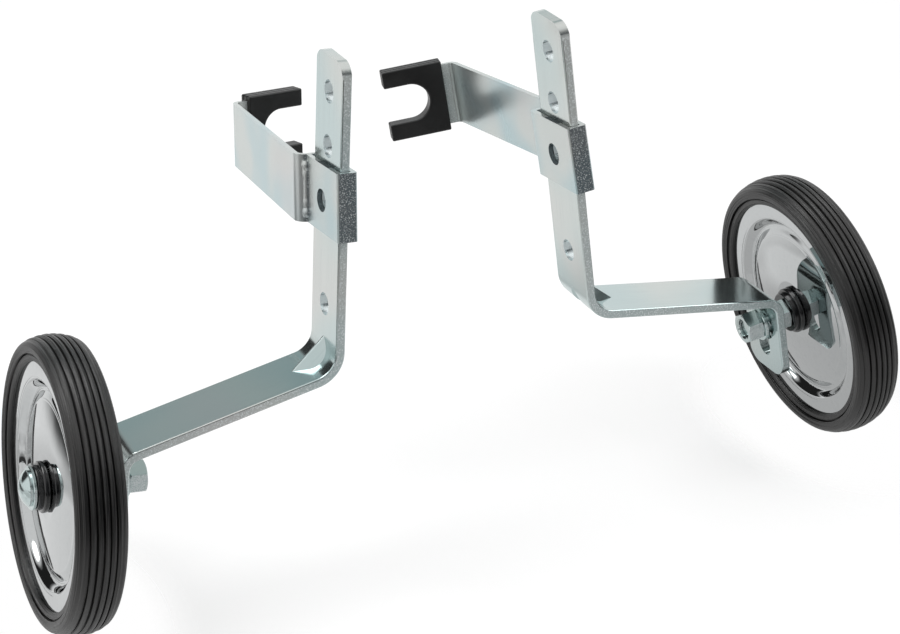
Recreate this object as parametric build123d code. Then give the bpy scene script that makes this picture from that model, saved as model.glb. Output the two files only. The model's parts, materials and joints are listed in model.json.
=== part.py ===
from build123d import *
from math import cos, radians, sin, tan
import os

# Pair of training wheels. Each unit is drawn in its own frame: the origin is the centre of the axle
# hole in the middle of the strap, +X points outward, +Y forward and +Z up. Lengths are millimetres.

# How the two units stand: the pair shares one axle line, and each strap leans in a little at the top
STRAP_SPACING = 116.0
UNIT_LEAN = 5.0

# Bracket bar: one flat bar bent into strap, arm and tab
BAR_WIDTH = 31.75
BAR_THICKNESS = 4.5
BAR_EDGE_RADIUS = 0.9
STRAP_TOP = 67.4
STRAP_DROP = 80.3
STRAP_CORNER_RADIUS = 8.0
AXLE_HOLE_DIAMETER = 10.6
AXLE_HOLE_PITCH = 25.4
AXLE_HOLE_STEPS = (2, 1, 0, -2)
ARM_LENGTH = 105.0
ARM_DROOP = 14.7
ARM_BEND_RADIUS = 13.75
TAB_LENGTH = 43.6
TAB_SPLAY = 3.2
TAB_BEND_RADIUS = 8.0
TAB_CORNER_RADIUS = 9.0
TAB_TO_AXLE = 16.3
SLOT_CLEARANCE = 0.3
SLOT_TRAVEL = 14.0

# Dart pressed into the strap bend to stiffen it
DART_UP_STRAP = 12.5
DART_ALONG_ARM = 17.0
DART_HALF_WIDTH = 8.4
DART_RIDGE_RADIUS = 1.2

# Sleeve and fork: one strip of sheet folded round the strap and welded shut
SHEET_THICKNESS = 2.2
SLEEVE_HEIGHT = 31.75
SLEEVE_RISE = 1.0
SLEEVE_DROOP = 5.6
SLEEVE_SIDE_CLEARANCE = 0.3
SLEEVE_EDGE_CLEARANCE = 2.1
SLEEVE_FOLD_INSIDE = 0.4
SLEEVE_FOLD_OUTSIDE = 1.2
SEAM_GAP = 0.4
FORK_ROOT_OFFSET = 8.4
FORK_ROOT_INSIDE = 3.2
FORK_ARM_LENGTH = 107.5
FORK_ARM_TOE = 3.7
FORK_BEND_INSIDE = 2.7
FORK_TOE = 13.0
FORK_LENGTH = 35.0
FORK_SLOT_WIDTH = 22.5
FORK_SLOT_START = 13.7
BEAD_END_RADIUS = 2.6
BEAD_MIDDLE_RADIUS = 1.9
BEAD_LUMPS = 6
BEAD_WAIST_DEPTH = 0.6
BEAD_END_MARGIN = 2.6

# Soft cover pushed over the fork
COVER_WALL = 2.6
COVER_SIDE_WALL = 2.9
COVER_SLOT_WALL = 1.5
COVER_START = 6.5
COVER_FIT = 0.1
COVER_EDGE_RADIUS = 0.8
COVER_LINE_WIDTH = 0.7
COVER_LINE_DEPTH = 0.35
COVER_LINE_OFFSET = 1.5

# Wheel: solid ribbed tyre on two pressed discs
WHEEL_RADIUS = 67.6
TYRE_HALF_WIDTH = 11.6
TYRE_DEPTH = 11.2
TREAD_HALF_WIDTH = 9.0
TREAD_CROWN = 1.8
TREAD_RIBS = 6
RIB_BULGE = 0.4
GROOVE_WIDTH = 0.9
GROOVE_DEPTH = 1.1
GROOVE_FLOOR = 0.4
SHOULDER_BULGE = 1.0
TYRE_WIDEST_DEPTH = 5.4
WALL_FOOT_DEPTH = 7.6
WALL_FOOT_INSET = 0.7
TYRE_LIP_HEIGHT = 2.0
TYRE_LIP_WIDTH = 2.0
LIP_GROOVE_WIDTH = 0.9
LIP_GROOVE_DEPTH = 1.1
TYRE_FIT = 0.1
DISC_THICKNESS = 1.2
DISC_HUB_OFFSET = 7.2
DISC_HUB_RADIUS = 15.0
DISC_DOME_OFFSET = 4.9
DISC_DOME_RUN = 5.2
DISC_TROUGH_OFFSET = 2.9
DISC_RIM_OFFSET = 7.6
DISC_RIM_BAND = 7.4
DISC_STEP_RUN = 4.8
DISC_FLANGE_GAP = 0.8
DISC_HUB_BEND = 5.0
DISC_DOME_BEND = 4.0
DISC_TROUGH_BEND = 3.0
DISC_RIM_BEND = 2.6
DISC_FLANGE_BEND = 1.6

# Hub bushes, axle bolt and its hardware
BOLT_DIAMETER = 9.5
BOLT_RUNNING_CLEARANCE = 0.05
BOLT_HEAD_DIAMETER = 16.4
BOLT_HEAD_HEIGHT = 4.6
BOLT_HEAD_RIM = 1.2
BOLT_END_RECESS = 2.0
BOLT_END_CHAMFER = 0.8
BUSH_BARREL_DIAMETER = 18.0
BUSH_FLANGE_DIAMETER = 23.5
BUSH_FLANGE_THICKNESS = 3.0
BUSH_FLANGE_ROUND = 1.1
BUSH_BOSS_DIAMETER = 20.4
BUSH_BOSS_HEIGHT = 2.4
BUSH_BOSS_ROUND = 0.7
BUSH_FIT = 0.1
BUSH_JOINT_GAP = 0.4
END_PLAY = 0.3
TAB_SLIP = 0.05
HEAD_WASHER_DIAMETER = 20.0
HEAD_WASHER_THICKNESS = 1.6
FLAT_WASHER_DIAMETER = 18.0
FLAT_WASHER_THICKNESS = 1.8
TOOTH_WASHER_DIAMETER = 19.0
TOOTH_WASHER_ROOT = 14.6
TOOTH_WASHER_THICKNESS = 1.2
TOOTH_COUNT = 10
TOOTH_WIDTH = 2.9
TOOTH_TWIST = 14.0
WASHER_CLEARANCE = 0.3
WASHER_EDGE = 0.3
NUT_ACROSS_FLATS = 14.3
NUT_THICKNESS = 8.4
NUT_CHAMFER_ANGLE = 30.0
NUT_COUNTERSINK = 0.7
THREAD_CLEARANCE = 0.05

# Places worked out from the driving dimensions
STANCE = Pos(STRAP_SPACING / 2, 0, 0) * Rot(0, -UNIT_LEAN, 0)
BAR_HALF = BAR_THICKNESS / 2
BOLT_RADIUS = BOLT_DIAMETER / 2
ARM_DIRECTION = Vector(cos(radians(ARM_DROOP)), 0, -sin(radians(ARM_DROOP)))
TAB_DIRECTION = Vector(sin(radians(TAB_SPLAY)), 0, -cos(radians(TAB_SPLAY)))
STRAP_BEND = Vector(0, 0, -STRAP_DROP)
TAB_BEND = STRAP_BEND + ARM_DIRECTION * ARM_LENGTH
TAB_END = TAB_BEND + TAB_DIRECTION * TAB_LENGTH
AXLE_CENTRE = TAB_BEND + TAB_DIRECTION * TAB_TO_AXLE
AXLE_FRAME = Location(AXLE_CENTRE) * Rot(0, -TAB_SPLAY, 0)

PLATE_OFFSET = BAR_HALF + SLEEVE_SIDE_CLEARANCE + SHEET_THICKNESS / 2
WALL_OFFSET = BAR_WIDTH / 2 + SLEEVE_EDGE_CLEARANCE + SHEET_THICKNESS / 2
FORK_ARM_TURN = radians(FORK_ARM_TOE)
FORK_BEND_X = FORK_ROOT_OFFSET - FORK_ARM_LENGTH * sin(FORK_ARM_TURN)
FORK_BEND_Y = WALL_OFFSET + FORK_ARM_LENGTH * cos(FORK_ARM_TURN)
FORK_DIRECTION = Vector(-cos(radians(FORK_TOE)), sin(radians(FORK_TOE)), 0)
FORK_PLANE = Plane(
    origin=(FORK_BEND_X, FORK_BEND_Y, SLEEVE_RISE),
    x_dir=FORK_DIRECTION,
    z_dir=FORK_DIRECTION.cross(Vector(0, 0, 1)),
)
SLEEVE_TILT = Rot(-SLEEVE_DROOP, 0, 0)

LIP_RADIUS = WHEEL_RADIUS - TYRE_DEPTH
SEAT_RADIUS = LIP_RADIUS + TYRE_LIP_HEIGHT
HUB_FACE = DISC_HUB_OFFSET + DISC_THICKNESS / 2
RIM_FACE = DISC_RIM_OFFSET + DISC_THICKNESS / 2
BUSH_END = HUB_FACE + BUSH_FLANGE_THICKNESS + BUSH_BOSS_HEIGHT

SPACER_START = BAR_HALF + TAB_SLIP
WHEEL_CENTRE = SPACER_START + NUT_THICKNESS + END_PLAY + BUSH_END
HEAD_WASHER_START = WHEEL_CENTRE + BUSH_END + END_PLAY
HEAD_SEAT = HEAD_WASHER_START + HEAD_WASHER_THICKNESS
TOOTH_WASHER_START = -BAR_HALF - TAB_SLIP - TOOTH_WASHER_THICKNESS
FLAT_WASHER_START = TOOTH_WASHER_START - FLAT_WASHER_THICKNESS
CLAMP_NUT_START = FLAT_WASHER_START - NUT_THICKNESS
BOLT_END = CLAMP_NUT_START + BOLT_END_RECESS


def along_axle(shape, start=0.0):
    """Stand a shape drawn along +Z on the axle line, from a distance outward of the tab."""
    return AXLE_FRAME * Pos(start, 0, 0) * Rot(0, 90, 0) * shape


def turned(outline):
    """Turn an outline of (distance along the axle, radius) about the axle line."""
    return AXLE_FRAME * revolve(outline, Axis.X)


def cross_hole(diameter, length, place):
    """A drill along X, centred on a place."""
    return Location(place) * Rot(0, 90, 0) * Cylinder(diameter / 2, length)


# Bracket bar

def dart(depth=0.0):
    """A ridge across the strap bend, with flanks that fall to a line in the corner.

    The same form, sunk by a depth, is the hollow that the punch leaves behind.
    """
    corner_rise = BAR_HALF * tan(radians(90 - ARM_DROOP) / 2)
    corner = STRAP_BEND + Vector(BAR_HALF, 0, corner_rise)
    out_of_corner = (Vector(0, 0, 1) + ARM_DIRECTION).normalized()
    corner = corner - out_of_corner * depth
    strap_tip = corner + Vector(0, 0, DART_UP_STRAP)
    arm_tip = corner + ARM_DIRECTION * DART_ALONG_ARM
    front = corner + Vector(0, DART_HALF_WIDTH, 0)
    rear = corner - Vector(0, DART_HALF_WIDTH, 0)
    triangles = (
        (strap_tip, arm_tip, front),
        (arm_tip, strap_tip, rear),
        (front, rear, strap_tip),
        (rear, front, arm_tip),
    )
    wedge = Solid(Shell([Face(Wire.make_polygon(triangle)) for triangle in triangles]))
    middle = (strap_tip + arm_tip) / 2
    ridge = wedge.edges().sort_by_distance(middle)[0]
    return fillet(ridge, DART_RIDGE_RADIUS)


def tab_slot():
    """The upright slot in the tab, from the axle's place down by its travel."""
    width = BOLT_DIAMETER + 2 * SLOT_CLEARANCE
    outline = SlotCenterToCenter(SLOT_TRAVEL, width)
    middle = AXLE_FRAME * Pos(0, 0, -SLOT_TRAVEL / 2)
    cutter = extrude(outline, amount=BAR_WIDTH, both=True)
    return middle * Rot(0, 90, 0) * cutter


def bracket_bar():
    """Strap, arm and tab in one bent bar, with its holes, slot and pressed dart."""
    strap_end = Vector(0, 0, STRAP_TOP)
    path = FilletPolyline(
        strap_end, STRAP_BEND, TAB_BEND, TAB_END, radius=[ARM_BEND_RADIUS, TAB_BEND_RADIUS]
    )
    start = Plane(origin=strap_end, x_dir=(1, 0, 0), z_dir=(0, 0, -1))
    section = start * RectangleRounded(BAR_THICKNESS, BAR_WIDTH, BAR_EDGE_RADIUS)
    bar = sweep(section, path=path)
    bar += dart()
    bar -= dart(BAR_THICKNESS / cos(radians(90 - ARM_DROOP) / 2))
    bar &= end_outline()
    for step in AXLE_HOLE_STEPS:
        place = Vector(0, 0, step * AXLE_HOLE_PITCH)
        bar -= cross_hole(AXLE_HOLE_DIAMETER, 2 * BAR_THICKNESS, place)
    return bar - tab_slot()


def end_outline():
    """The bar seen from the side of the wheel: a tall plate with rounded corners at both ends."""
    height = STRAP_TOP - TAB_END.Z
    reach = 2 * (TAB_END.X + BAR_WIDTH)
    plate = extrude(Plane.YZ * Rectangle(BAR_WIDTH, height), amount=reach / 2, both=True)
    plate = Pos(0, 0, (STRAP_TOP + TAB_END.Z) / 2) * plate
    corners = plate.edges().filter_by(Axis.X)
    top = corners.group_by(Axis.Z)[-1]
    plate = fillet(top, STRAP_CORNER_RADIUS)
    bottom = plate.edges().filter_by(Axis.X).group_by(Axis.Z)[0]
    return fillet(bottom, TAB_CORNER_RADIUS)


# Sleeve and fork

def fork_outline(start, tip, height, slot_width, slot_start):
    """Side view of the fork: a plate with a round-ended slot that opens at the tip."""
    plate = Pos((start + tip) / 2, 0) * Rectangle(tip - start, height)
    slot_centre = slot_start + slot_width / 2
    slot = Pos(slot_centre, 0) * Circle(slot_width / 2)
    slot += Pos(slot_centre + tip / 2, 0) * Rectangle(tip, slot_width)
    return plate - slot


def bead_radius(share, waist_depth=0.0):
    """Radius of the weld bead at a share of its length: fuller and lumpier where it starts and stops."""
    rise = BEAD_END_RADIUS - BEAD_MIDDLE_RADIUS - waist_depth
    return BEAD_MIDDLE_RADIUS + rise * (2 * share - 1) ** 2


def weld_bead():
    """Lumpy bead that closes the seam between the outer plate and the front wall."""
    length = SLEEVE_HEIGHT - 2 * BEAD_END_MARGIN
    lump = length / BEAD_LUMPS
    waists = [bead_radius(number / BEAD_LUMPS, BEAD_WAIST_DEPTH) for number in range(BEAD_LUMPS + 1)]
    edges = [Line((0, 0), (waists[0], 0))]
    for number in range(BEAD_LUMPS):
        low = (waists[number], number * lump)
        middle = (bead_radius((number + 0.5) / BEAD_LUMPS), (number + 0.5) * lump)
        high = (waists[number + 1], (number + 1) * lump)
        edges.append(ThreePointArc(low, middle, high))
    edges.append(Polyline((waists[-1], length), (0, length), (0, 0)))
    bead = revolve(Plane.XZ * make_face(edges), Axis.Z)
    seam_x = PLATE_OFFSET + SHEET_THICKNESS / 2
    seam_y = WALL_OFFSET - SHEET_THICKNESS / 2 - SEAM_GAP / 2
    return Pos(seam_x, seam_y, SLEEVE_RISE - length / 2) * bead


def folded_strip(stations, insides, outsides):
    """Plan of a strip of sheet along a middle line, with each fold rounded inside and outside."""
    half = SHEET_THICKNESS / 2
    sides = {1: [], -1: []}
    rounds = []
    for number, station in enumerate(stations):
        before = stations[max(number - 1, 0)]
        after = stations[min(number + 1, len(stations) - 1)]
        into = (station - before if number else after - station).normalized()
        onward = (after - station if after != station else into).normalized()
        left = Vector(-into.Y, into.X)
        mitre = (left + Vector(-onward.Y, onward.X)).normalized()
        turn = 1 if into.cross(onward).Z > 0 else -1
        for side in sides:
            corner = station + mitre * (side * half / mitre.dot(left))
            sides[side].append(corner)
            if 0 < number < len(stations) - 1:
                radii = insides if side == turn else outsides
                rounds.append((corner, radii[number - 1]))
    plan = make_face(Polyline(*sides[1], *reversed(sides[-1]), close=True))
    for corner, radius in rounds:
        plan = fillet(plan.vertices().sort_by_distance(corner)[0], radius)
    return plan


def fork_sleeve():
    """The folded strip: outer plate, rear wall, inner plate, front wall, arm and fork."""
    seam_y = WALL_OFFSET - SHEET_THICKNESS / 2 - SEAM_GAP
    fork_bend = Vector(FORK_BEND_X, FORK_BEND_Y)
    stations = (
        Vector(PLATE_OFFSET, seam_y),
        Vector(PLATE_OFFSET, -WALL_OFFSET),
        Vector(-PLATE_OFFSET, -WALL_OFFSET),
        Vector(-PLATE_OFFSET, WALL_OFFSET),
        Vector(FORK_ROOT_OFFSET, WALL_OFFSET),
        fork_bend,
        fork_bend + FORK_DIRECTION * FORK_LENGTH,
    )
    bends = [FORK_ROOT_INSIDE, FORK_BEND_INSIDE]
    insides = [SLEEVE_FOLD_INSIDE] * 3 + bends
    outsides = [SLEEVE_FOLD_OUTSIDE] * 3 + [inside + SHEET_THICKNESS for inside in bends]
    plan = folded_strip(stations, insides, outsides)
    strip = Pos(0, 0, SLEEVE_RISE) * extrude(plan, amount=SLEEVE_HEIGHT / 2, both=True)
    blank = Pos(FORK_LENGTH, 0) * Rectangle(2 * (FORK_LENGTH - FORK_SLOT_START), 2 * SLEEVE_HEIGHT)
    tines = fork_outline(0, FORK_LENGTH, SLEEVE_HEIGHT, FORK_SLOT_WIDTH, FORK_SLOT_START)
    strip -= extrude(FORK_PLANE * (blank - tines), amount=2 * SHEET_THICKNESS, both=True)
    strip += weld_bead()
    strip -= cross_hole(AXLE_HOLE_DIAMETER, 4 * PLATE_OFFSET, Vector(0, 0, 0))
    return SLEEVE_TILT * strip


def cover_line(tip, height):
    """Shallow line round the outer edge of the cover, seen from the side."""
    length = tip - COVER_START
    kept = Rectangle(length - 2 * COVER_LINE_DEPTH, height - 2 * COVER_LINE_DEPTH)
    around = Rectangle(2 * length, 2 * height) - kept
    return Pos((COVER_START + tip) / 2, 0) * around


def fork_cover():
    """Moulded sleeve that follows the fork, with a slot for the frame tube."""
    tip = FORK_LENGTH + COVER_WALL
    height = SLEEVE_HEIGHT + 2 * COVER_WALL
    slot = FORK_SLOT_WIDTH - 2 * COVER_SLOT_WALL
    outline = fork_outline(COVER_START, tip, height, slot, FORK_SLOT_START + COVER_SLOT_WALL)
    half = SHEET_THICKNESS / 2 + COVER_SIDE_WALL
    shell = extrude(FORK_PLANE * outline, amount=half, both=True)
    shell = fillet(shell.edges(), COVER_EDGE_RADIUS)
    for offset in (-COVER_LINE_OFFSET, COVER_LINE_OFFSET):
        line = FORK_PLANE.offset(offset) * cover_line(tip, height)
        shell -= extrude(line, amount=COVER_LINE_WIDTH / 2, both=True)
    hollow = fork_outline(
        0,
        FORK_LENGTH + COVER_FIT,
        SLEEVE_HEIGHT + 2 * COVER_FIT,
        FORK_SLOT_WIDTH - 2 * COVER_FIT,
        FORK_SLOT_START + COVER_FIT,
    )
    shell -= extrude(FORK_PLANE * hollow, amount=SHEET_THICKNESS / 2 + COVER_FIT, both=True)
    return SLEEVE_TILT * shell


# Wheel

def tread_radius(offset):
    """Radius of the crowned tread at an offset from the middle of the tyre."""
    return WHEEL_RADIUS - TREAD_CROWN * (offset / TREAD_HALF_WIDTH) ** 2


def tread_edges():
    """Ribbed tread from the outer shoulder to the inner one, each rib with a rounded crown."""
    pitch = 2 * TREAD_HALF_WIDTH / TREAD_RIBS
    edges = []
    rib_start = TREAD_HALF_WIDTH
    for rib in range(1, TREAD_RIBS + 1):
        groove = TREAD_HALF_WIDTH - rib * pitch
        last = rib == TREAD_RIBS
        rib_end = -TREAD_HALF_WIDTH if last else groove + GROOVE_WIDTH / 2
        crown = (rib_start + rib_end) / 2
        edges.append(
            ThreePointArc(
                (rib_start, tread_radius(rib_start)),
                (crown, tread_radius(crown) + RIB_BULGE),
                (rib_end, tread_radius(rib_end)),
            )
        )
        if not last:
            floor = tread_radius(groove) - GROOVE_DEPTH
            rib_start = groove - GROOVE_WIDTH / 2
            edges.append(
                Polyline(
                    (rib_end, tread_radius(rib_end)),
                    (groove + GROOVE_FLOOR / 2, floor),
                    (groove - GROOVE_FLOOR / 2, floor),
                    (rib_start, tread_radius(rib_start)),
                )
            )
    return edges


def sidewall_edges(side):
    """Shoulder, wall, ring groove and lip on one side of the tyre, out to the seat."""
    shoulder = Vector(side * TREAD_HALF_WIDTH, tread_radius(TREAD_HALF_WIDTH))
    widest = Vector(side * TYRE_HALF_WIDTH, WHEEL_RADIUS - TYRE_WIDEST_DEPTH)
    bulge = (shoulder + widest) / 2 + Vector(side, 1).normalized() * SHOULDER_BULGE
    foot = Vector(side * (TYRE_HALF_WIDTH - WALL_FOOT_INSET), WHEEL_RADIUS - WALL_FOOT_DEPTH)
    lip = side * (RIM_FACE + TYRE_LIP_WIDTH)
    groove = lip - side * LIP_GROOVE_DEPTH
    lip_top = foot.Y - LIP_GROOVE_WIDTH
    lip_turn = Vector(lip, (lip_top + LIP_RADIUS) / 2)
    lip_edge = Vector(side * (RIM_FACE + TYRE_FIT), LIP_RADIUS)
    seat = Vector(side * (RIM_FACE + TYRE_FIT), SEAT_RADIUS)
    return [
        ThreePointArc(shoulder, bulge, widest),
        Polyline(widest, foot, (groove, foot.Y), (groove, lip_top), (lip, lip_top), lip_turn),
        TangentArc(lip_turn, lip_edge, tangent=Vector(0, -1)),
        Line(lip_edge, seat),
    ]


def tyre():
    """Solid rubber tyre with a grooved tread and a lip that laps the discs."""
    seat = Line((RIM_FACE + TYRE_FIT, SEAT_RADIUS), (-RIM_FACE - TYRE_FIT, SEAT_RADIUS))
    outline = [*tread_edges(), *sidewall_edges(1), *sidewall_edges(-1), seat]
    return turned(Pos(WHEEL_CENTRE, 0) * make_face(outline))


def disc(side):
    """Pressed disc: hub flat, shallow dome, trough, rim band and a flange under the tyre."""
    half = DISC_THICKNESS / 2
    rim_inner = LIP_RADIUS - DISC_RIM_BAND
    trough = rim_inner - DISC_STEP_RUN
    flange = SEAT_RADIUS - TYRE_FIT - half
    path = FilletPolyline(
        (side * DISC_HUB_OFFSET, BUSH_BARREL_DIAMETER / 2 + BUSH_FIT),
        (side * DISC_HUB_OFFSET, DISC_HUB_RADIUS),
        (side * DISC_DOME_OFFSET, trough - DISC_DOME_RUN),
        (side * DISC_TROUGH_OFFSET, trough),
        (side * DISC_RIM_OFFSET, rim_inner),
        (side * DISC_RIM_OFFSET, flange),
        (side * DISC_FLANGE_GAP, flange),
        radius=[DISC_HUB_BEND, DISC_DOME_BEND, DISC_TROUGH_BEND, DISC_RIM_BEND, DISC_FLANGE_BEND],
    )
    return turned(Pos(WHEEL_CENTRE, 0) * trace(path, DISC_THICKNESS))


def bush(side):
    """Bush that carries one disc on the axle bolt, with a flange and a smaller thrust boss."""
    bore = BOLT_RADIUS + BOLT_RUNNING_CLEARANCE
    barrel = BUSH_BARREL_DIAMETER / 2
    flange = BUSH_FLANGE_DIAMETER / 2
    boss = BUSH_BOSS_DIAMETER / 2
    flange_end = HUB_FACE + BUSH_FLANGE_THICKNESS
    inner_end = BUSH_JOINT_GAP / 2
    outline = Polyline(
        (side * inner_end, bore),
        (side * inner_end, barrel),
        (side * HUB_FACE, barrel),
        (side * HUB_FACE, flange),
        (side * flange_end, flange),
        (side * flange_end, boss),
        (side * BUSH_END, boss),
        (side * BUSH_END, bore),
        close=True,
    )
    section = make_face(outline)
    section = fillet(section.vertices().group_by(Axis.Y)[-1], BUSH_FLANGE_ROUND)
    rim = section.vertices().sort_by_distance((side * BUSH_END, boss))[0]
    section = fillet(rim, BUSH_BOSS_ROUND)
    return turned(Pos(WHEEL_CENTRE, 0) * section)


# Axle bolt and its hardware

def axle_bolt():
    """Dome-headed bolt through bushes, nuts and tab."""
    head = BOLT_HEAD_DIAMETER / 2
    crown = HEAD_SEAT + BOLT_HEAD_HEIGHT
    rim = HEAD_SEAT + BOLT_HEAD_RIM
    dome_rise = BOLT_HEAD_HEIGHT - BOLT_HEAD_RIM
    dome_radius = (head**2 + dome_rise**2) / (2 * dome_rise)
    lift = (dome_radius**2 - (head / 2) ** 2) ** 0.5 - (dome_radius - dome_rise)
    outline = [
        Polyline(
            (crown, 0),
            (BOLT_END, 0),
            (BOLT_END, BOLT_RADIUS - BOLT_END_CHAMFER),
            (BOLT_END + BOLT_END_CHAMFER, BOLT_RADIUS),
            (HEAD_SEAT, BOLT_RADIUS),
            (HEAD_SEAT, head),
            (rim, head),
        ),
        ThreePointArc((rim, head), (rim + lift, head / 2), (crown, 0)),
    ]
    return turned(make_face(outline))


def washer(start, thickness, diameter):
    """Flat washer with eased edges, on the axle line."""
    ring = Circle(diameter / 2) - Circle(BOLT_RADIUS + WASHER_CLEARANCE)
    plate = extrude(ring, amount=thickness)
    rims = plate.edges().filter_by(GeomType.CIRCLE).group_by(SortBy.RADIUS)[-1]
    return along_axle(chamfer(rims, WASHER_EDGE), start)


def tooth_washer():
    """External-tooth lock washer: a ring with twisted teeth round its rim."""
    ring = extrude(Circle(TOOTH_WASHER_ROOT / 2), amount=TOOTH_WASHER_THICKNESS)
    tooth_length = (TOOTH_WASHER_DIAMETER - TOOTH_WASHER_ROOT) / 2
    reach = tooth_length + TOOTH_WIDTH / 2
    twist = radians(TOOTH_TWIST)
    blade = TOOTH_WASHER_THICKNESS - TOOTH_WIDTH * sin(twist)
    blade_middle = TOOTH_WASHER_DIAMETER / 2 - reach / 2
    tooth = Rot(TOOTH_TWIST, 0, 0) * Box(reach, TOOTH_WIDTH * cos(twist), blade / cos(twist))
    tooth = Pos(blade_middle, 0, TOOTH_WASHER_THICKNESS / 2) * tooth
    for location in PolarLocations(0, TOOTH_COUNT):
        ring += location * tooth
    ring -= Cylinder(BOLT_RADIUS + WASHER_CLEARANCE, 4 * TOOTH_WASHER_THICKNESS)
    return along_axle(ring, TOOTH_WASHER_START)


def hex_nut(start):
    """Hexagon nut with both ends turned to a cone, on the axle line."""
    corner = NUT_ACROSS_FLATS / 2 / cos(radians(30))
    flat = NUT_ACROSS_FLATS / 2
    slope = (corner - flat) * tan(radians(NUT_CHAMFER_ANGLE))
    body = extrude(RegularPolygon(corner, 6), amount=NUT_THICKNESS)
    outline = Polyline(
        (0, 0),
        (flat, 0),
        (corner, slope),
        (corner, NUT_THICKNESS - slope),
        (flat, NUT_THICKNESS),
        (0, NUT_THICKNESS),
        close=True,
    )
    body &= revolve(Plane.XZ * make_face(outline), Axis.Z)
    bore = BOLT_RADIUS + THREAD_CLEARANCE
    body -= Cylinder(bore, 3 * NUT_THICKNESS)
    mouths = body.edges().filter_by(GeomType.CIRCLE).group_by(SortBy.RADIUS)[0]
    body = chamfer(mouths, NUT_COUNTERSINK)
    return along_axle(body, start)


def unit_pieces():
    """Every piece of one unit, by name."""
    return {
        "bracket_bar": bracket_bar(),
        "fork_sleeve": fork_sleeve(),
        "fork_cover": fork_cover(),
        "tyre": tyre(),
        "outer_disc": disc(1),
        "inner_disc": disc(-1),
        "outer_bush": bush(1),
        "inner_bush": bush(-1),
        "axle_bolt": axle_bolt(),
        "head_washer": washer(HEAD_WASHER_START, HEAD_WASHER_THICKNESS, HEAD_WASHER_DIAMETER),
        "spacer_nut": hex_nut(SPACER_START),
        "tooth_washer": tooth_washer(),
        "flat_washer": washer(FLAT_WASHER_START, FLAT_WASHER_THICKNESS, FLAT_WASHER_DIAMETER),
        "clamp_nut": hex_nut(CLAMP_NUT_START),
    }


os.makedirs("parts", exist_ok=True)
for name, piece in unit_pieces().items():
    right_piece = STANCE * piece
    export_step(right_piece, f"parts/right_{name}.step")
    export_step(mirror(right_piece, about=Plane.YZ), f"parts/left_{name}.step")
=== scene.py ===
"""Studio picture of a pair of bicycle training wheels.

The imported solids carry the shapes. This script gives every surface its finish, adds the screw threads
that are too fine for the solids, and sets up the light, the floor and the camera.
"""
import json
import logging
import math
from abc import ABC, abstractmethod
from dataclasses import dataclass
from enum import Enum
from typing import Any

import bmesh
import bpy
from mathutils import Matrix, Vector


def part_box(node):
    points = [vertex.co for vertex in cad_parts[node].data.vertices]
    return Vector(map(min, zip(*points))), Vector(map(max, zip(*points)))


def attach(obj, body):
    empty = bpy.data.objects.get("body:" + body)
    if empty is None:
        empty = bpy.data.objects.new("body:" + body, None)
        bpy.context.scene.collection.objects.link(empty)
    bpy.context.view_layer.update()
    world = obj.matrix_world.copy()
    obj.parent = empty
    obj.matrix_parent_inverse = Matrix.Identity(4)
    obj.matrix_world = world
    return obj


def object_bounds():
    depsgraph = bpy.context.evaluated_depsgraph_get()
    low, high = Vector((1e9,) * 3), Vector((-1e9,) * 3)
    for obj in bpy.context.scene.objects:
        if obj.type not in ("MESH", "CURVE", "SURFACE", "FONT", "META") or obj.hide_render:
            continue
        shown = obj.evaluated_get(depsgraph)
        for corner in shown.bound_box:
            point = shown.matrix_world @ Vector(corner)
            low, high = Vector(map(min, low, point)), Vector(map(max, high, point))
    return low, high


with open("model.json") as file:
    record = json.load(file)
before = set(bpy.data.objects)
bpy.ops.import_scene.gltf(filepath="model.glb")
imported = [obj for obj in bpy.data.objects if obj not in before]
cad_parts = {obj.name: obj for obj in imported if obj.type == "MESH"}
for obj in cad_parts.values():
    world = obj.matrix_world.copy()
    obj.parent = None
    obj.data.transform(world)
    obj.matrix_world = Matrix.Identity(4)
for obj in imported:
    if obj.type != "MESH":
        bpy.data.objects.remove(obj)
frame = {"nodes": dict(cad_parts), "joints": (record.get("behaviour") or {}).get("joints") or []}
cad_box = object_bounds()

LOG = logging.getLogger("training_wheels")

Colour = tuple[float, float, float]
Triple = tuple[float, float, float]
Span = tuple[float, float]

UP = Vector((0.0, 0.0, 1.0))


def grey(level: float) -> Colour:
    """Colour with the same level in every channel."""
    return (level, level, level)


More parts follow.
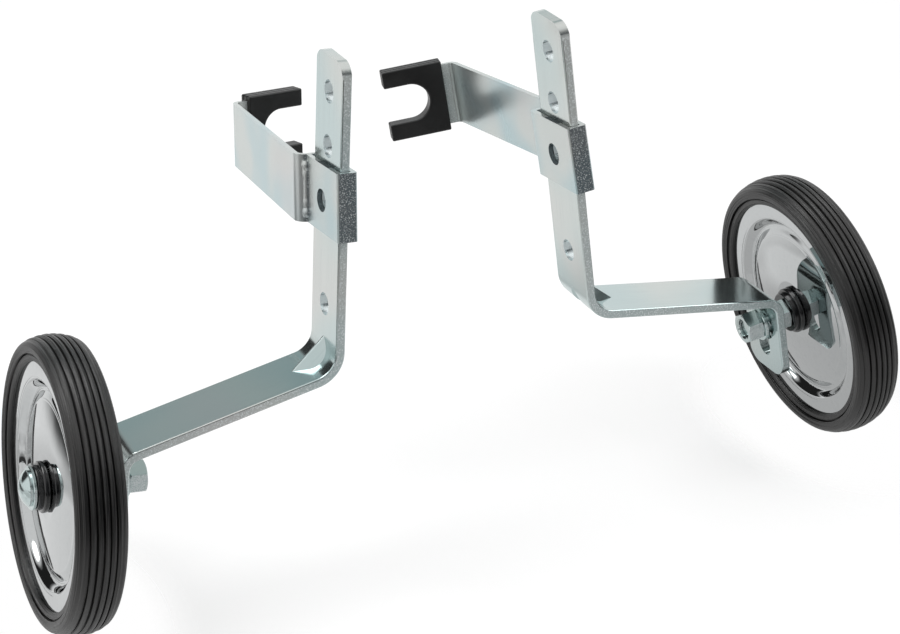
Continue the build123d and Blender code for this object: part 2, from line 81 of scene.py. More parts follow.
class Wire:
    """An output socket of a shader node, with arithmetic that adds Math nodes."""

    def __init__(self, graph: "Graph", socket: bpy.types.NodeSocket) -> None:
        """Keep the socket and the graph that it belongs to."""
        self.graph = graph
        self.socket = socket

    def output(self, name: str) -> "Wire":
        """Another output of the same node."""
        return Wire(self.graph, self.socket.node.outputs[name])

    def maths(self, operation: str, first: "Wire | float", second: "Wire | float" = 0.0) -> "Wire":
        """Add a Math node.

        Args:
            operation: name of the node's operation.
            first: value or wire of the first socket.
            second: value or wire of the second socket.

        Returns:
            The node's result.
        """
        return self.graph.node("ShaderNodeMath", {"operation": operation}, {0: first, 1: second})

    def __add__(self, other: "Wire | float") -> "Wire":
        """Sum of two values."""
        return self.maths("ADD", self, other)

    def __radd__(self, other: float) -> "Wire":
        """Sum of a number and a value."""
        return self.maths("ADD", other, self)

    def __sub__(self, other: "Wire | float") -> "Wire":
        """Difference of two values."""
        return self.maths("SUBTRACT", self, other)

    def __rsub__(self, other: float) -> "Wire":
        """Difference of a number and a value."""
        return self.maths("SUBTRACT", other, self)

    def __mul__(self, other: "Wire | float") -> "Wire":
        """Product of two values."""
        return self.maths("MULTIPLY", self, other)

    def __rmul__(self, other: float) -> "Wire":
        """Product of a number and a value."""
        return self.maths("MULTIPLY", other, self)

    def __abs__(self) -> "Wire":
        """Size of a value without its sign."""
        return self.maths("ABSOLUTE", self)

    def ease(self, low: float, high: float) -> "Wire":
        """Smooth rise from 0 at the low limit to 1 at the high one."""
        return self.ramp("SMOOTHSTEP", low, high)

    def share(self, low: float, high: float) -> "Wire":
        """Even rise from 0 at the low limit to 1 at the high one."""
        return self.ramp("LINEAR", low, high)

    def ramp(self, curve: str, low: float, high: float) -> "Wire":
        """Add a Map Range node that gives 0 to 1 and stays within them.

        Args:
            curve: name of the node's interpolation.
            low: value that gives 0.
            high: value that gives 1.

        Returns:
            The mapped value.
        """
        sockets = {"Value": self, "From Min": low, "From Max": high, "To Min": 0.0, "To Max": 1.0}
        return self.graph.node("ShaderNodeMapRange", {"interpolation_type": curve}, sockets)


class Graph:
    """A node tree that grows by one method."""

    def __init__(self, tree: bpy.types.NodeTree) -> None:
        """Start from an empty tree."""
        self.tree = tree
        tree.nodes.clear()

    def node(
        self,
        kind: str,
        settings: dict[str, Any] | None = None,
        sockets: dict[int | str, Any] | None = None,
        output: int | str = 0,
    ) -> Wire:
        """Add a node, set it up and join its sockets.

        Args:
            kind: the node's type.
            settings: the node's own settings, made before its sockets are filled.
            sockets: a value or a wire for each input.
            output: which output to hand back.

        Returns:
            The chosen output.
        """
        node = self.tree.nodes.new(kind)
        for name, value in (settings or {}).items():
            setattr(node, name, value)
        for key, value in (sockets or {}).items():
            if isinstance(value, Wire):
                self.tree.links.new(value.socket, node.inputs[key])
            else:
                node.inputs[key].default_value = value
        return Wire(self, node.outputs[output] if node.outputs else None)

    def place(self) -> Wire:
        """Position on the object, in metres."""
        return self.node("ShaderNodeTexCoord", output="Object")

    def part(self, vector: Wire, axis: str) -> Wire:
        """One component of a vector."""
        return self.node("ShaderNodeSeparateXYZ", sockets={0: vector}, output=axis)

    def noise(self, vector: Wire, scale: float, detail: float = 2.0, roughness: float = 0.5) -> Wire:
        """Noise from 0 to 1.

        Args:
            vector: where to look it up.
            scale: waves in a metre.
            detail: how many finer layers lie on it.
            roughness: how strong the finer layers are.

        Returns:
            The noise value.
        """
        sockets = {"Vector": vector, "Scale": scale, "Detail": detail, "Roughness": roughness}
        return self.node("ShaderNodeTexNoise", {"noise_dimensions": "3D"}, sockets)

    def vector(
        self,
        operation: str,
        first: Wire,
        second: Wire | Vector | Triple,
        output: str = "Vector",
    ) -> Wire:
        """Add a Vector Math node of two vectors.

        Args:
            operation: name of the node's operation.
            first: vector of the first socket.
            second: vector of the second socket.
            output: which output to hand back.

        Returns:
            The chosen output.
        """
        return self.node("ShaderNodeVectorMath", {"operation": operation}, {0: first, 1: second}, output)

    def length(self, vector: Wire) -> Wire:
        """Length of a vector."""
        return self.node("ShaderNodeVectorMath", {"operation": "LENGTH"}, {0: vector}, "Value")

    def stretch(self, vector: Wire, factors: Triple) -> Wire:
        """Multiply a vector by three factors."""
        return self.vector("MULTIPLY", vector, factors)

    def blend(self, factor: Wire, first: Wire | Colour, second: Wire | Colour) -> Wire:
        """Mix two colours.

        Args:
            factor: 0 gives the first colour and 1 the second.
            first: colour or wire.
            second: colour or wire.

        Returns:
            The mixed colour.
        """
        ends = [end if isinstance(end, Wire) else (*end, 1.0) for end in (first, second)]
        # Several sockets of this node share a name, so the colours go by number: 6 and 7 in, 2 out.
        sockets = {0: factor, 6: ends[0], 7: ends[1]}
        return self.node("ShaderNodeMix", {"data_type": "RGBA"}, sockets, output=2)

    def bump(self, height: Wire, strength: float, distance: float) -> Wire:
        """Surface normal for a height.

        Args:
            height: height above the surface.
            strength: how much of it shows.
            distance: metres to one unit of height.

        Returns:
            The normal.
        """
        sockets = {"Strength": strength, "Distance": distance, "Height": height}
        return self.node("ShaderNodeBump", sockets=sockets)

    def glow(self, strength: float) -> Wire:
        """White light from a surface."""
        return self.node("ShaderNodeEmission", sockets={"Color": (*grey(1.0), 1.0), "Strength": strength})

    def backdrop(self, colour: Colour) -> Wire:
        """Light from the surroundings."""
        return self.node("ShaderNodeBackground", sockets={"Color": (*colour, 1.0)})

    def plus(self, first: Wire, second: Wire) -> Wire:
        """Add two shaders."""
        return self.node("ShaderNodeAddShader", sockets={0: first, 1: second})

    def choose(self, factor: Wire, first: Wire, second: Wire) -> Wire:
        """Mix two shaders: 0 gives the first and 1 the second."""
        return self.node("ShaderNodeMixShader", sockets={0: factor, 1: first, 2: second})

    def principled(self, sockets: dict[str, Any]) -> Wire:
        """Shader of a solid surface."""
        return self.node("ShaderNodeBsdfPrincipled", sockets=sockets)


@dataclass(frozen=True)
class AxleLine:
    """The line that a wheel turns on: a point on it and its outward direction."""

    centre: Vector
    outward: Vector

    def along(self, graph: Graph, place: Wire) -> Wire:
        """Distance along the line from its point."""
        spoke = graph.vector("SUBTRACT", place, self.centre)
        return graph.vector("DOT_PRODUCT", spoke, self.outward, "Value")

    def radius(self, graph: Graph, place: Wire) -> Wire:
        """Distance from the line."""
        spoke = graph.vector("SUBTRACT", place, self.centre)
        return graph.length(graph.vector("CROSS_PRODUCT", spoke, self.outward))


class Side(Enum):
    """The two units of the pair, named from the rider's seat."""

    LEFT = "left"
    RIGHT = "right"

    def node(self, piece: str) -> str:
        """Name of this side's node for a piece."""
        return f"{self.value}_{piece}"

    def axle(self) -> AxleLine:
        """This side's axle line, which its wheel spins on."""
        joint = next(entry for entry in frame["joints"] if entry["name"] == self.node("wheel_spin"))
        return AxleLine(Vector(joint["pos_m"]), Vector(joint["axis"]).normalized())

    def footprint(self) -> Vector:
        """Lowest point of this side's tyre.

        Returns:
            The point, in metres.
        """
        low, high = (Vector(corner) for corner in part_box(self.node("tyre")))
        outward = self.axle().outward
        down = outward * outward.z - UP
        return (low + high) / 2 + down.normalized() * (high.z - low.z) / 2


@dataclass(frozen=True)
class Finish(ABC):
    """A finish, which builds one material.

    In the finishes, a scale is in waves to a metre, and a span holds the two values between which a mask
    rises from 0 to 1. A blur is what a pattern adds to the roughness, and a relief is what it adds to the
    height of the bump.
    """

    name: str

    @abstractmethod
    def shader(self, graph: Graph) -> Wire:
        """Build the shader of the surface."""

    def make(self) -> bpy.types.Material:
        """Build the material.

        Returns:
            The new material.
        """
        material = bpy.data.materials.new(self.name)
        material.use_nodes = True
        graph = Graph(material.node_tree)
        graph.node("ShaderNodeOutputMaterial", sockets={"Surface": self.shader(graph)})
        return material


@dataclass(frozen=True)
class ZincPlate(Finish):
    """Bright zinc plating on steel: a little blue, with faint colours, and grainy on worked steel.

    Worked steel is what faces along Y, such as the sheared edges of the bar. It is hazy, and near the front
    it is
    painted darker: painted shade, as it faces the dark front. Past the plain span, which is a place along Y,
    it is hazier still and has no painted shade. The hole spans mark off the walls of the strap's holes: by
    distance from its middle line, by the way they face and by height.
    """

    cool: Colour = (0.53, 0.63, 0.63)
    warm: Colour = (0.635, 0.665, 0.64)
    blush: Colour = (0.665, 0.645, 0.64)
    # Colour of the brushed streaks, and of the painted shade on worked faces.
    streak_and_shade: Colour = (0.34, 0.39, 0.41)
    # Colour of the painted glints.
    glint: Colour = (0.86, 0.91, 0.92)
    wall: Colour = (0.80, 0.87, 0.88)
    shine: float = 0.97
    roughness: float = 0.17
    relief_strength: float = 0.4
    cloud_scale: float = 16.0
    cloud_span: Span = (0.32, 0.66)
    cloud_blur: float = 0.08
    tint_scale: float = 15.0
    tint_span: Span = (0.52, 0.72)
    tinted: float = 0.6
    streak_scale: Triple = (26.0, 1300.0, 26.0)
    streak_span: Span = (0.5, 0.8)
    streak_blur: float = 0.06
    brushed: float = 0.2
    brush_relief: float = 0.12
    grain_scale: float = 2400.0
    grain_relief: float = 0.22
    grain_height: float = 0.00006
    pit_scale: float = 1250.0
    worked_span: Span = (0.86, 0.97)
    worked_roughness: float = 0.24
    worked_relief: float = 2.0
    worked_haze: float = 0.68
    sparkle: float = 0.8
    sparkle_floor: float = 0.51
    sparkle_rise: float = 0.1
    sparkle_haze: float = 0.4
    # Painted shade: how far worked faces near the front darken.
    painted_shade: float = 0.15
    plain_span: Span = (0.03, 0.06)
    plain_haze: float = 0.5
    hole_span: Span = (0.0062, 0.0072)
    hole_turn: Span = (0.5, 0.7)
    lowest_hole: Span = (-0.064, -0.060)
    highest_hole: Span = (0.060, 0.063)

    def punched(self, graph: Graph, place: Wire, normal: Wire) -> Wire:
        """Mask of the walls of the strap's punched holes.

        Args:
            graph: the material's graph.
            place: position on the object.
            normal: the object's own normal.

        Returns:
            1 on the walls and 0 elsewhere.
        """
        inside = 1.0 - abs(graph.part(place, "Y")).ease(*self.hole_span)
        sideways = 1.0 - abs(graph.part(normal, "X")).ease(*self.hole_turn)
        height = graph.part(place, "Z")
        between = height.ease(*self.lowest_hole) * (1.0 - height.ease(*self.highest_hole))
        return inside * sideways * between

    def shader(self, graph: Graph) -> Wire:
        """Build the shader of the plated steel.

        Args:
            graph: the material's graph.

        Returns:
            The shader.
        """
        place = graph.place()
        normal = place.output("Normal")
        worked = abs(graph.part(normal, "Y")).ease(*self.worked_span)
        plain = graph.part(place, "Y").ease(*self.plain_span)
        punched = self.punched(graph, place, normal)
        coarse = worked + punched
        cloud = graph.noise(place, self.cloud_scale, detail=1.0)
        tint = graph.noise(place, self.tint_scale, detail=1.0)
        streak = graph.noise(graph.stretch(place, self.streak_scale), scale=1.0)
        grain = graph.noise(place, self.grain_scale, roughness=0.6)
        pits = graph.noise(place, self.pit_scale, detail=3.0, roughness=0.65)
        peaks = pits.ease(self.sparkle_floor, self.sparkle_floor + self.sparkle_rise)
        speck = peaks * coarse * self.sparkle
        colour = graph.blend(cloud.ease(*self.cloud_span), self.cool, self.warm)
        colour = graph.blend(tint.ease(*self.tint_span) * self.tinted, colour, self.blush)
        colour = graph.blend(streak.ease(*self.streak_span) * self.brushed, colour, self.streak_and_shade)
        # Painted shade: worked faces near the front are darkened.
        colour = graph.blend(worked * (1.0 - plain) * self.painted_shade, colour, self.streak_and_shade)
        # Painted glints: bright specks on worked steel and on the hole walls.
        colour = graph.blend(speck, colour, self.glint)
        colour = graph.blend(punched, colour, self.wall)
        haze = worked * (plain * self.plain_haze + self.worked_haze) + speck * self.sparkle_haze
        blur = (cloud - 0.5) * self.cloud_blur + (streak - 0.5) * self.streak_blur
        relief = grain * self.grain_relief + streak * self.brush_relief
        relief = relief + pits * coarse * self.worked_relief
        return graph.principled({
            "Base Color": colour,
            "Metallic": self.shine - haze,
            "Roughness": blur + worked * self.worked_roughness + self.roughness,
            "Normal": graph.bump(relief, self.relief_strength, self.grain_height),
        })


@dataclass(frozen=True)
class Press:
    """A ring of a pressed disc between two radii, whose slope the press rounds into a curve."""

    start: float
    end: float
    rise: float


@dataclass(frozen=True)
class ChromePlate(Finish):
    """Polished chrome on a pressed disc, with rounded steps, faint waves and a few wipe marks."""

    axle: AxleLine
    colour: Colour = (0.535, 0.55, 0.552)
    shade: Colour = (0.46, 0.475, 0.482)
    roughness: float = 0.03
    dome: Press = Press(start=0.0115, end=0.0390, rise=-0.0019)
    steps: tuple[Press, ...] = (
        Press(start=0.0385, end=0.0445, rise=-0.0016),
        Press(start=0.0438, end=0.0494, rise=0.0036),
    )
    wave_scale: float = 75.0
    wave_height: float = 0.00007
    wipe_scale: Triple = (70.0, 420.0, 420.0)
    wipe_span: Span = (0.45, 0.8)
    wiped: float = 0.5
    wipe_blur: float = 0.05

    def pressing(self, graph: Graph, place: Wire) -> Wire:
        """Height, in metres, that rounds the dome and the steps.

        Args:
            graph: the material's graph.
            place: position on the object.

        Returns:
            The height.
        """
        radius = self.axle.radius(graph, place)
        across = radius.share(self.dome.start, self.dome.end)
        height = across * (across - 1.0) * self.dome.rise
        for step in self.steps:
            curve = radius.ease(step.start, step.end) - radius.share(step.start, step.end)
            height = height + curve * step.rise
        return height

    def shader(self, graph: Graph) -> Wire:
        """Build the shader of the chrome.

        Args:
            graph: the material's graph.

        Returns:
            The shader.
        """
        place = graph.place()
        wave = graph.noise(place, self.wave_scale, detail=1.0)
        wipe = graph.noise(graph.stretch(place, self.wipe_scale), scale=1.0, detail=4.0, roughness=0.7)
        smear = wipe.ease(*self.wipe_span)
        relief = self.pressing(graph, place) + wave * self.wave_height
        return graph.principled({
            "Base Color": graph.blend(smear * self.wiped, self.colour, self.shade),
            "Metallic": 1.0,
            "Roughness": smear * self.wipe_blur + self.roughness,
            "Normal": graph.bump(relief, strength=1.0, distance=1.0),
        })


@dataclass(frozen=True)
class Hoops:
    """Fine moulding lines round a tyre, which drift a little on their way round."""

    axle: AxleLine
    line_scale: float = 1150.0
    drift_scale: Triple = (16.0, 16.0, 16.0)

    def lines(self, graph: Graph, place: Wire) -> Wire:
        """Pattern of the lines.

        Args:
            graph: the material's graph.
            place: position on the object.

        Returns:
            A value from 0 to 1.
        """
        along = self.axle.along(graph, place) * self.line_scale
        radius = self.axle.radius(graph, place) * self.line_scale
        section = graph.node("ShaderNodeCombineXYZ", sockets={0: along, 1: radius})
        drift = graph.stretch(place, self.drift_scale)
        return graph.noise(graph.vector("ADD", section, drift), scale=1.0)


@dataclass(frozen=True)
class Rubber(Finish):
    """Black moulded rubber or soft plastic with a fine matt skin, and lines where it has hoops."""

    hoops: Hoops | None = None
    dark: Colour = (0.003, 0.0028, 0.0026)
    pale: Colour = (0.015, 0.0142, 0.0134)
    roughness: float = 0.18
    reflection: float = 0.65
    relief_strength: float = 0.4
    bloom_scale: float = 38.0
    bloom_span: Span = (0.35, 0.75)
    bloomed: float = 0.5
    bloom_blur: float = 0.16
    line_span: Span = (0.4, 0.7)
    lined: float = 0.5
    line_blur: float = 0.2
    line_relief: float = 42.0
    skin_scale: float = 2600.0
    skin_blur: float = 0.06
    skin_height: float = 0.00008

    def shader(self, graph: Graph) -> Wire:
        """Build the shader of the rubber. Without hoops, the bloom takes the place of their lines.

        Args:
            graph: the material's graph.

        Returns:
            The shader.
        """
        place = graph.place()
        bloom = graph.noise(place, self.bloom_scale, detail=5.0, roughness=0.6)
        skin = graph.noise(place, self.skin_scale, roughness=0.6)
        lines = self.hoops.lines(graph, place) if self.hoops else bloom
        paleness = bloom.ease(*self.bloom_span) * self.bloomed + lines.ease(*self.line_span) * self.lined
        blur = bloom * self.bloom_blur + skin * self.skin_blur + lines * self.line_blur
        relief = skin + lines * self.line_relief if self.hoops else skin
        return graph.principled({
            "Base Color": graph.blend(paleness, self.dark, self.pale),
            "Roughness": blur + self.roughness,
            "Specular IOR Level": self.reflection,
            "Normal": graph.bump(relief, self.relief_strength, self.skin_height),
        })


@dataclass(frozen=True)
class GlossMoulding(Finish):
    """Hard black plastic, polished by its mould, with a faint flow pattern."""

    dark: Colour = (0.006, 0.006, 0.007)
    pale: Colour = (0.014, 0.014, 0.015)
    roughness: float = 0.10
    coat: float = 0.3
    coat_roughness: float = 0.06
    flow_scale: float = 210.0
    flow_blur: float = 0.08
    flow_height: float = 0.00004
    relief_strength: float = 0.3

    def shader(self, graph: Graph) -> Wire:
        """Build the shader of the plastic.

        Args:
            graph: the material's graph.

        Returns:
            The shader.
        """
        flow = graph.noise(graph.place(), self.flow_scale, detail=3.0)
        return graph.principled({
            "Base Color": graph.blend(flow, self.dark, self.pale),
            "Roughness": flow * self.flow_blur + self.roughness,
            "Coat Weight": self.coat,
            "Coat Roughness": self.coat_roughness,
            "Normal": graph.bump(flow, self.relief_strength, self.flow_height),
        })


@dataclass(frozen=True)
class PaleFloor(Finish):
    """White floor that takes shadows.

    The camera sees it fade into the white background, with a soft gap under each wheel, so that a lowered
    wheel stays whole in sight. What mirrors it sees a dark front, soft shades and one dark patch.
    """

    albedo: float = 0.55
    lift: float = 0.58
    fade_span: Span = (0.7, 1.6)
    patch_span: Span = (0.75, 1.3)
    gap_size: Span = (0.05, 0.09)
    mirrored_lift: float = 0.46
    shade: float = 0.64
    shade_scale: float = 8.0
    clear_span: Span = (0.40, 0.60)
    far_span: Span = (0.14, 0.25)
    front: float = 0.05
    front_span: Span = (-0.42, -0.10)
    dark: float = 0.06
    dark_centre: Triple = (-0.56, 0.32, 0.0)
    dark_size: Span = (0.22, 0.20)

    def patch(self, graph: Graph, place: Wire, centre: Vector | Triple, size: Span) -> Wire:
        """Soft oval patch of the floor.

        Args:
            graph: the material's graph.
            place: position on the floor.
            centre: the middle of the patch.
            size: its half width and half length.

        Returns:
            1 in the patch and 0 away from it.
        """
        offset = graph.vector("SUBTRACT", place, centre)
        shares = graph.stretch(offset, (1 / size[0], 1 / size[1], 0.0))
        return 1.0 - graph.length(shares).ease(*self.patch_span)

    def seen(self, graph: Graph, place: Wire, diffuse: Wire) -> Wire:
        """The floor as the camera sees it.

        Args:
            graph: the material's graph.
            place: position on the floor.
            diffuse: the floor's own shader.

        Returns:
            The shader.
        """
        away = graph.length(place).ease(*self.fade_span)
        floor = graph.choose(away, graph.plus(diffuse, graph.glow(self.lift)), graph.glow(1.0))
        opening = graph.node("ShaderNodeBsdfTransparent")
        for side in Side:
            gap = self.patch(graph, place, side.footprint(), self.gap_size)
            floor = graph.choose(gap, floor, opening)
        return floor

    def mirrored(self, graph: Graph, place: Wire, diffuse: Wire) -> Wire:
        """The floor as shiny surfaces mirror it.

        Args:
            graph: the material's graph.
            place: position on the floor.
            diffuse: the floor's own shader.

        Returns:
            The shader.
        """
        depth = graph.part(place, "Y")
        clear = graph.noise(place, self.shade_scale, detail=1.0).ease(*self.clear_span)
        unshaded = clear + depth.ease(*self.far_span)
        bright = graph.plus(diffuse, graph.glow(self.mirrored_lift))
        floor = graph.choose(unshaded, graph.glow(self.shade), bright)
        floor = graph.choose(depth.ease(*self.front_span), graph.glow(self.front), floor)
        spot = self.patch(graph, place, self.dark_centre, self.dark_size)
        return graph.choose(spot, floor, graph.glow(self.dark))

    def shader(self, graph: Graph) -> Wire:
        """Build the shader of the floor.

        Args:
            graph: the material's graph.

        Returns:
            The shader.
        """
        place = graph.place()
        path = graph.node("ShaderNodeLightPath", output="Is Camera Ray")
        diffuse = graph.node("ShaderNodeBsdfDiffuse", sockets={"Color": (*grey(self.albedo), 1.0)})
        mirrored = self.mirrored(graph, place, diffuse)
        lit = graph.choose(path.output("Is Glossy Ray"), diffuse, mirrored)
        in_view = path + path.output("Is Transmission Ray")
        return graph.choose(in_view, lit, self.seen(graph, place, diffuse))


def paint(node: str, material: bpy.types.Material) -> str:
    """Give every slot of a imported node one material.

    Args:
        node: the node's name.
        material: the finish.

    Returns:
        The node's name, for the log.
    """
    for slot in frame["nodes"][node].material_slots:
        slot.link = "OBJECT"
        slot.material = material
    return node


@dataclass(frozen=True)
class Finishes:
    """All finishes of the pair."""

    bar: bpy.types.Material
    sheet: bpy.types.Material
    fastener: bpy.types.Material
    thread: bpy.types.Material
    chrome: dict[Side, bpy.types.Material]
    tyre: dict[Side, bpy.types.Material]
    cover: bpy.types.Material
    bush: bpy.types.Material

    @classmethod
    def make(cls) -> "Finishes":
        """Build every finish once.

        Returns:
            The finishes.
        """
        return cls(
            bar=ZincPlate("zinc_bar").make(),
            sheet=ZincPlate(
                "zinc_sheet",
                cool=(0.50, 0.635, 0.66),
                warm=(0.655, 0.695, 0.675),
                # The sleeve's worked faces take a dark painted shade.
                streak_and_shade=(0.17, 0.205, 0.235),
                # The hole mask's faces on the sleeve are painted dark: painted shade.
                wall=(0.16, 0.19, 0.20),
                shine=0.70,
                roughness=0.24,
                cloud_scale=30.0,
                streak_scale=(40.0, 40.0, 40.0),
                brushed=0.0,
                brush_relief=0.0,
                grain_relief=0.06,
                pit_scale=1900.0,
                worked_roughness=-0.10,
                worked_haze=0.1,
                sparkle=1.0,
                sparkle_floor=0.54,
                # Strong painted shade on the sleeve's worked faces near the front.
                painted_shade=0.72,
            ).make(),
            fastener=ZincPlate(
                "zinc_fastener",
                roughness=0.13,
                grain_scale=4200.0,
                pit_scale=2600.0,
                # More painted glints on the fasteners.
                sparkle=1.0,
                sparkle_floor=0.44,
                painted_shade=0.0,
            ).make(),
            # The thread is painted dark: painted shade inside the nut's mouth.
            thread=ZincPlate(
                "zinc_thread_painted_shade",
                cool=(0.10, 0.135, 0.14),
                warm=(0.14, 0.16, 0.16),
                blush=(0.15, 0.15, 0.15),
                sparkle=0.0,
                painted_shade=0.0,
            ).make(),
            chrome={side: ChromePlate(side.node("chrome"), side.axle()).make() for side in Side},
            tyre={side: Rubber(side.node("rubber"), Hoops(side.axle())).make() for side in Side},
            cover=Rubber(
                "soft_cover",
                dark=(0.009, 0.0088, 0.0088),
                pale=(0.018, 0.0175, 0.0175),
            ).make(),
            bush=GlossMoulding("bush").make(),
        )


@dataclass(frozen=True)
class Bracket:
    """Bent bar and the sliding sleeve with its covered fork."""

    side: Side

    def dress(self, finishes: Finishes) -> list[str]:
        """Finish the bar, the sleeve and the cover.

        Args:
            finishes: the pair's finishes.

        Returns:
            Names of the dressed nodes.
        """
        coats = {"bracket_bar": finishes.bar, "fork_sleeve": finishes.sheet, "fork_cover": finishes.cover}
        return [paint(self.side.node(piece), coat) for piece, coat in coats.items()]


@dataclass(frozen=True)
class Wheel:
    """Tyre, discs and bushes that turn together."""

    side: Side

    def dress(self, finishes: Finishes) -> list[str]:
        """Finish the tyre, the discs and the bushes.

        Args:
            finishes: the pair's finishes.

        Returns:
            Names of the dressed nodes.
        """
        dressed = [paint(self.side.node("tyre"), finishes.tyre[self.side])]
        for face in ("outer", "inner"):
            dressed.append(paint(self.side.node(f"{face}_disc"), finishes.chrome[self.side]))
            dressed.append(paint(self.side.node(f"{face}_bush"), finishes.bush))
        return dressed


@dataclass(frozen=True)
class AxleHardware:
    """Bolt, washers and nuts, with the thread that shows in the mouth of the inner nut.

    The half widths of the thread's ridge are shares of its pitch. At each end the ridge rises from its
    least height over a run-out, which is a share of its length.
    """

    side: Side
    bore_radius: float = 0.0048
    countersink: float = 0.0007
    depth: float = 0.0022
    pitch: float = 0.00106
    ridge_height: float = 0.00062
    least_share: float = 0.05
    root_half: float = 0.4
    crest_half: float = 0.06
    runout: float = 1 / 6
    overlap: float = 0.00004
    steps: int = 48

    def nut_mouth(self) -> float:
        """Place of the inner nut's open end along the axle line.

        Returns:
            Distance from the line's point, in metres.
        """
        axle = self.side.axle()
        vertices = frame["nodes"][self.side.node("clamp_nut")].data.vertices
        return min((vertex.co - axle.centre).dot(axle.outward) for vertex in vertices)

    def section(self, share: float) -> list[tuple[float, float]]:
        """Section of the thread's ridge.

        Args:
            share: 0 at the start of the ridge and 1 at its end.

        Returns:
            Each corner's distance from the axle line and along it.
        """
        rise = min(1.0, share / self.runout, (1.0 - share) / self.runout)
        crest = self.bore_radius - self.ridge_height * max(rise, self.least_share)
        wall = self.bore_radius + self.overlap
        root = self.root_half * self.pitch
        tip = self.crest_half * self.pitch
        return [(wall, -root), (crest, -tip), (crest, tip), (wall, root)]

    def ridge(self) -> bmesh.types.BMesh:
        """Build the helical ridge of the thread, from the countersink inwards.

        Returns:
            A closed mesh in the shared frame.
        """
        axle = self.side.axle()
        turn = axle.outward.to_track_quat("Z", "Y").to_matrix().to_4x4()
        inset = self.countersink + self.root_half * self.pitch
        start = self.nut_mouth() + inset
        run = self.depth - inset
        rings = round(self.steps * run / self.pitch)
        mesh = bmesh.new()
        previous: list[bmesh.types.BMVert] = []
        for ring in range(rings + 1):
            angle = 2 * math.pi * ring / self.steps
            across = Vector((math.cos(angle), math.sin(angle), 0.0))
            middle = start + run * ring / rings
            corners = []
            for radius, offset in self.section(ring / rings):
                point = across * radius + UP * (middle + offset)
                corners.append(mesh.verts.new(turn @ point + axle.centre))
            if previous:
                for index, corner in enumerate(corners):
                    after = (index + 1) % len(corners)
                    mesh.faces.new((previous[index], previous[after], corners[after], corner))
            else:
                mesh.faces.new(corners)
            previous = corners
        mesh.faces.new(list(reversed(previous)))
        bmesh.ops.recalc_face_normals(mesh, faces=mesh.faces)
        for face in mesh.faces:
            face.smooth = True
        return mesh

    def thread(self, finishes: Finishes) -> str:
        """Add the thread in the nut's mouth.

        Args:
            finishes: the pair's finishes.

        Returns:
            The new piece's name.
        """
        name = self.side.node("nut_thread")
        data = bpy.data.meshes.new(name)
        mesh = self.ridge()
        mesh.to_mesh(data)
        mesh.free()
        data.materials.append(finishes.thread)
        piece = bpy.data.objects.new(name, data)
        bpy.context.scene.collection.objects.link(piece)
        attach(piece, self.side.node("axle"))
        return name

    def dress(self, finishes: Finishes) -> list[str]:
        """Finish the hardware and add the thread.

        Args:
            finishes: the pair's finishes.

        Returns:
            Names of the dressed nodes and the new piece.
        """
        pieces = ("axle_bolt", "head_washer", "spacer_nut", "tooth_washer", "flat_washer", "clamp_nut")
        dressed = [paint(self.side.node(piece), finishes.fastener) for piece in pieces]
        dressed.append(self.thread(finishes))
        return dressed


@dataclass(frozen=True)
class SoftBox:
    """A large round area lamp aimed at the object."""

    name: str
    place: Triple
    width: float
    power: float
    aim: Triple = (0.0, 0.0, -0.06)

    def build(self) -> None:
        """Add the lamp to the scene."""
        lamp = bpy.data.lights.new(self.name, "AREA")
        lamp.shape = "ELLIPSE"
        lamp.size = self.width
        lamp.size_y = self.width
        lamp.energy = self.power
        holder = bpy.data.objects.new(self.name, lamp)
        holder.location = self.place
        direction = Vector(self.aim) - Vector(self.place)
        holder.rotation_euler = direction.to_track_quat("-Z", "Y").to_euler()
        bpy.context.scene.collection.objects.link(holder)


@dataclass(frozen=True)
class Panel:
    """A round panel of the room that shiny surfaces mirror.

    It has a direction, the colour of its light, and the two angles, in degrees, of its soft edge.
    """

    aim: Triple
    colour: Colour
    inner: float
    outer: float

    def facing(self, graph: Graph) -> Wire:
        """How much of the panel lies in a mirrored direction.

        Args:
            graph: the world's graph.

        Returns:
            1 in the panel and 0 outside its edge.
        """
        direction = graph.node("ShaderNodeTexCoord", output="Generated")
        towards = graph.vector("DOT_PRODUCT", direction, Vector(self.aim).normalized(), "Value")
        return towards.ease(math.cos(math.radians(self.outer)), math.cos(math.radians(self.inner)))


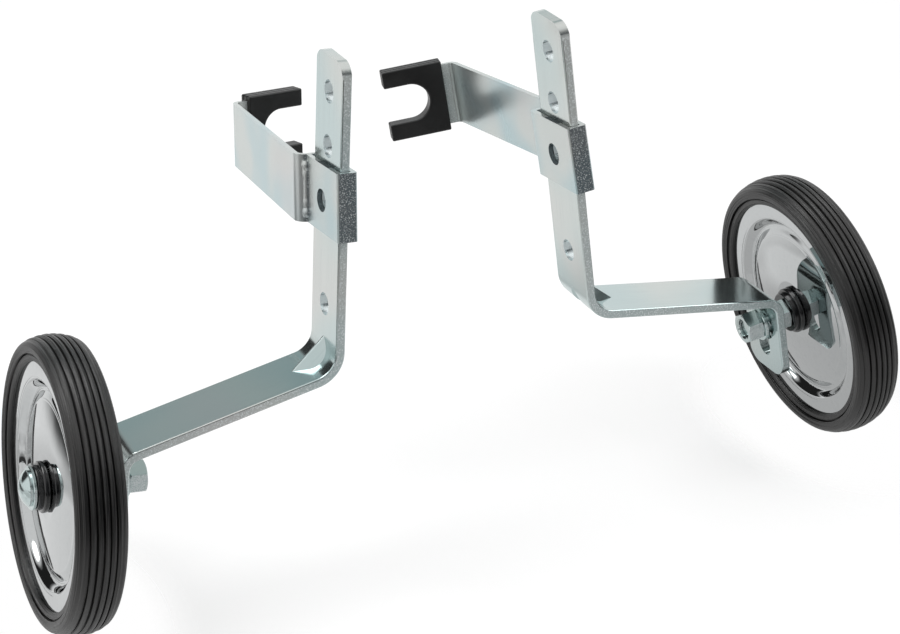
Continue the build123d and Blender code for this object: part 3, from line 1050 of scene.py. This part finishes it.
@dataclass(frozen=True)
class Studio:
    """Floor, world, lamps and camera.

    The camera's focal length is in pixels of the picture, its roll in degrees and its sensor in millimetres.
    """

    floor_half: float = 9.0
    sky: float = 0.55
    mirrored_sky: float = 0.96
    panels: tuple[Panel, ...] = (
        Panel(aim=(0.22, -0.95, 0.05), colour=(0.05, 0.06, 0.065), inner=30.0, outer=70.0),
        Panel(aim=(0.12, 0.80, 0.60), colour=(0.33, 0.41, 0.42), inner=6.0, outer=24.0),
        Panel(aim=(-0.48, 0.81, 0.32), colour=(0.02, 0.02, 0.02), inner=19.0, outer=29.0),
    )
    lamps: tuple[SoftBox, ...] = (
        SoftBox("key", place=(-0.7, 0.5, 1.3), width=1.0, power=9.0),
        SoftBox("fill", place=(1.1, -0.7, 0.9), width=0.8, power=4.0),
    )
    camera_place: Triple = (-0.37909, -0.88162, 0.39475)
    camera_forward: Triple = (0.353178, 0.826948, -0.437519)
    camera_roll: float = 2.36
    focal_pixels: float = 2267.0
    picture_width: float = 900.0
    sensor: float = 36.0
    farthest: float = 50.0

    def floor(self) -> None:
        """Lay the floor under the wheels."""
        data = bpy.data.meshes.new("floor")
        half = self.floor_half
        level = cad_box[0][2]
        corners = [(x * half, y * half, level) for x, y in ((-1, -1), (1, -1), (1, 1), (-1, 1))]
        data.from_pydata(corners, [], [(0, 1, 2, 3)])
        data.materials.append(PaleFloor("floor").make())
        floor = bpy.data.objects.new("floor", data)
        bpy.context.scene.collection.objects.link(floor)

    def world(self) -> None:
        """Make the world white for the camera, pale for diffuse light and a room for what mirrors it."""
        world = bpy.data.worlds.new("studio")
        world.use_nodes = True
        bpy.context.scene.world = world
        graph = Graph(world.node_tree)
        path = graph.node("ShaderNodeLightPath", output="Is Camera Ray")
        room = graph.backdrop(grey(self.mirrored_sky))
        for panel in self.panels:
            room = graph.choose(panel.facing(graph), room, graph.backdrop(panel.colour))
        lit = graph.choose(path.output("Is Glossy Ray"), graph.backdrop(grey(self.sky)), room)
        shown = graph.choose(path + path.output("Is Transmission Ray"), lit, graph.backdrop(grey(1.0)))
        graph.node("ShaderNodeOutputWorld", sockets={"Surface": shown})

    def camera(self) -> None:
        """Set up the camera at the picture's viewing angle."""
        lens = bpy.data.cameras.new("camera")
        lens.sensor_width = self.sensor
        lens.lens = self.focal_pixels / self.picture_width * self.sensor
        lens.clip_end = self.farthest
        holder = bpy.data.objects.new("camera", lens)
        forward = Vector(self.camera_forward).normalized()
        level_right = forward.cross(UP).normalized()
        roll = math.radians(self.camera_roll)
        right = level_right * math.cos(roll) + forward.cross(level_right) * math.sin(roll)
        up = right.cross(forward)
        turn = Matrix((right, up, -forward)).transposed().to_4x4()
        holder.matrix_world = Matrix.Translation(self.camera_place) @ turn
        bpy.context.scene.collection.objects.link(holder)
        bpy.context.scene.camera = holder

    def build(self) -> None:
        """Build the whole studio."""
        bpy.context.scene.view_settings.view_transform = "Standard"
        self.floor()
        self.world()
        for lamp in self.lamps:
            lamp.build()
        self.camera()


def main() -> None:
    """Dress both units, then set up the studio."""
    logging.basicConfig(level=logging.INFO, format="%(name)s: %(message)s")
    finishes = Finishes.make()
    for side in Side:
        for assembly in (Bracket(side), Wheel(side), AxleHardware(side)):
            for name in assembly.dress(finishes):
                LOG.info("dressed %s", name)
    Studio().build()


if __name__ == "__main__":
    main()
